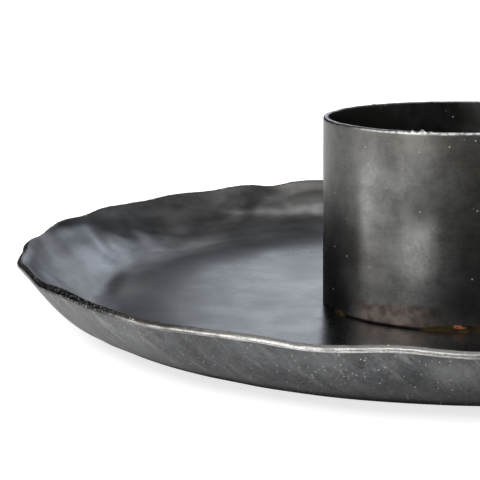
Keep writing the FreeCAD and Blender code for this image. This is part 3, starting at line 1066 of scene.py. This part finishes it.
# Soft windows of light in the tent: azimuth limits, elevation limits and softness of the edges in
# degrees, then level and 1 for daylight. Azimuth 0 is along +Y, behind the holder as the camera sees it,
# and azimuths grow to the right.
TENT_LIGHTS = [
    (-146.0, -87.0, -10.0, 28.0, 14.0, 2.60, 0),
    (-177.0, -130.0, 3.0, 35.0, 9.0, 1.10, 0),
    (-11.0, -3.0, 10.5, 22.0, 4.0, 1.60, 1),
    (-4.0, 20.5, 14.0, 34.0, 16.0, 1.85, 1),
    (34.5, 127.0, -10.0, 52.5, 12.0, 0.31, 0),
    (88.0, 142.0, 43.0, 66.5, 10.0, 0.83, 0),
    (8.0, 58.0, 58.0, 74.0, 9.0, 1.35, 0),
    (25.0, 95.0, 66.0, 80.0, 8.0, 0.34, 0),
    (-180.0, 180.0, 66.0, 100.0, 8.0, 0.31, 0),
    (-180.0, 180.0, 82.0, 100.0, 6.0, 1.20, 0),
    (120.0, 240.0, 38.0, 80.0, 10.0, 1.30, 0),
]
TENT_COOL = (0.95, 1.0, 1.08)
TENT_DIM = 0.01  # level between the windows
TENT_RADIUS = 1.5  # metres
TENT_STEP = 2.0  # degrees from column to column
TENT_TOP, TENT_ROWS = 89.0, 46  # highest ring's elevation, and rings
FLAG_AZIMUTHS, FLAG_COLUMNS = (-202.0, -158.0), 24
FLAG_ELEVATIONS, FLAG_ROWS = (0.0, 18.0), 16
FLAG_TINT = (1.0, 1.02, 0.62)
FLAG_LEVEL = 0.07
FLAG_DISTANCE = 0.18  # metres
WORLD_LIGHT = 0.5  # level of the world's light on the holder
WORLD_WHITE = 1.0  # and where the camera or the metal sees it
# Lamps: name, place and width in metres, and watts
LAMPS = [
    ("key_lamp", (-0.9, -0.7, 1.3), 1.2, 14.0),
    ("fill_lamp", (0.9, 0.4, 1.2), 1.2, 5.0),
]


def sky_ring(azimuth, elevation, distance):
    """Points round the holder at some azimuths and one elevation, in degrees."""
    turn, tilt = np.radians(azimuth), math.radians(elevation)
    height = np.full_like(turn, math.sin(tilt))
    flat = math.cos(tilt)
    return np.stack([np.sin(turn) * flat, np.cos(turn) * flat, height], axis=-1) * distance


def only_mirrored(piece):
    """Leaves a piece to the metal's reflections."""
    piece.visible_camera = False
    piece.visible_diffuse = False
    piece.visible_shadow = False


def make_tent():
    """Light tent round the holder, which shows only in the metal's reflections."""
    n = Nodes(bpy.data.materials.new("tent_cloth"))
    colour = n.mix(n.value("cool"), (1.0, 1.0, 1.0), TENT_COOL)
    n.finish("Emission", Color=colour, Strength=n.value("level"))
    azimuth = np.arange(0.0, 360.0, TENT_STEP)
    rings, levels, cools = [], [], []
    for elevation in np.linspace(0.0, TENT_TOP, TENT_ROWS):
        rings.append(sky_ring(azimuth, elevation, TENT_RADIUS))
        level = np.full_like(azimuth, TENT_DIM)
        cool = np.zeros_like(azimuth)
        for left, right, low, high, soft, strength, daylight in TENT_LIGHTS:
            aside = np.abs(apart(azimuth, (left + right) / 2)) - (right - left) / 2
            above = abs(elevation - (low + high) / 2) - (high - low) / 2
            fade = between(-aside, -soft / 2, soft / 2) * between(-above, -soft / 2, soft / 2)
            part = strength * smooth(fade)
            level += part
            cool += part * daylight
        levels.append(level)
        cools.append(cool / level)
    values = {"level": levels, "cool": cools}
    tent = grid_piece("light_tent", rings, n.owner, values, poles=(None, (0.0, 0.0, TENT_RADIUS)))
    only_mirrored(tent)


def make_flag():
    """Dark card in front of the holder, where the camera stands, which shows only in reflections."""
    n = Nodes(bpy.data.materials.new("flag_cloth"))
    n.finish("Emission", Color=FLAG_TINT, Strength=FLAG_LEVEL)
    azimuth = np.linspace(*FLAG_AZIMUTHS, FLAG_COLUMNS)
    elevations = np.linspace(*FLAG_ELEVATIONS, FLAG_ROWS)
    rings = [sky_ring(azimuth, elevation, FLAG_DISTANCE) for elevation in elevations]
    flag = grid_piece("front_flag", rings, n.owner, closed=False)
    only_mirrored(flag)


def make_world():
    """White background, and a soft even light from all round."""
    n = Nodes(bpy.data.worlds.new("studio"), "ShaderNodeOutputWorld")
    bpy.context.scene.world = n.owner
    path = n.add("LightPath")
    mirrored = n.most(path["Is Glossy Ray"], path["Is Transmission Ray"])
    seen = n.most(path["Is Camera Ray"], mirrored)
    n.finish("Background", Strength=n.step(seen, 0.0, 1.0, WORLD_LIGHT, WORLD_WHITE))


def make_lamp(name, place, size, watts):
    """Soft lamp that looks at the holder and stays out of the metal's reflections."""
    data = bpy.data.lights.new(name, "AREA")
    data.shape = "DISK"
    data.size = size
    data.energy = watts
    lamp = bpy.data.objects.new(name, data)
    lamp.location = place
    lamp.rotation_euler = (-Vector(place)).to_track_quat("-Z", "Y").to_euler()
    lamp.visible_glossy = False
    bpy.context.scene.collection.objects.link(lamp)


def make_camera():
    """The photograph's own camera, with no lens shift."""
    forward = Vector((
        math.sin(CAMERA_YAW) * math.cos(CAMERA_PITCH),
        math.cos(CAMERA_YAW) * math.cos(CAMERA_PITCH),
        -math.sin(CAMERA_PITCH),
    ))
    level_right = Vector((math.cos(CAMERA_YAW), -math.sin(CAMERA_YAW), 0.0))
    level_up = level_right.cross(forward)
    right = math.cos(CAMERA_ROLL) * level_right - math.sin(CAMERA_ROLL) * level_up
    up = math.sin(CAMERA_ROLL) * level_right + math.cos(CAMERA_ROLL) * level_up
    data = bpy.data.cameras.new("camera")
    data.sensor_width = SENSOR_WIDTH
    data.lens = CAMERA_FOCUS * data.sensor_width / PHOTO_SIZE
    data.clip_start = CAMERA_NEAR
    camera = bpy.data.objects.new("camera", data)
    turn = Matrix((right, up, -forward)).transposed().to_4x4()
    camera.matrix_world = Matrix.Translation(CAMERA_PLACE) @ turn
    bpy.context.scene.collection.objects.link(camera)
    bpy.context.scene.camera = camera


# Assembly


def settle(piece, node):
    """Turns a piece's faces outwards and puts it in the place of its CAD node."""
    piece.data.flip_normals()
    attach(piece, "root")
    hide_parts(node)


def main():
    settle(make_dish(dish_steel()), "dish")
    settle(make_cup(cup_steel()), "candle_cup")
    braze = braze_metal()
    settle(make_seam(braze), "cup_seam_braze")
    for node, *shape in TACKS:
        settle(make_tack(node, *shape, braze), node)

    make_camera()
    make_world()
    make_floor()
    for lamp in LAMPS:
        make_lamp(*lamp)
    make_tent()
    make_flag()
    bpy.context.scene.view_settings.view_transform = "Standard"


main()
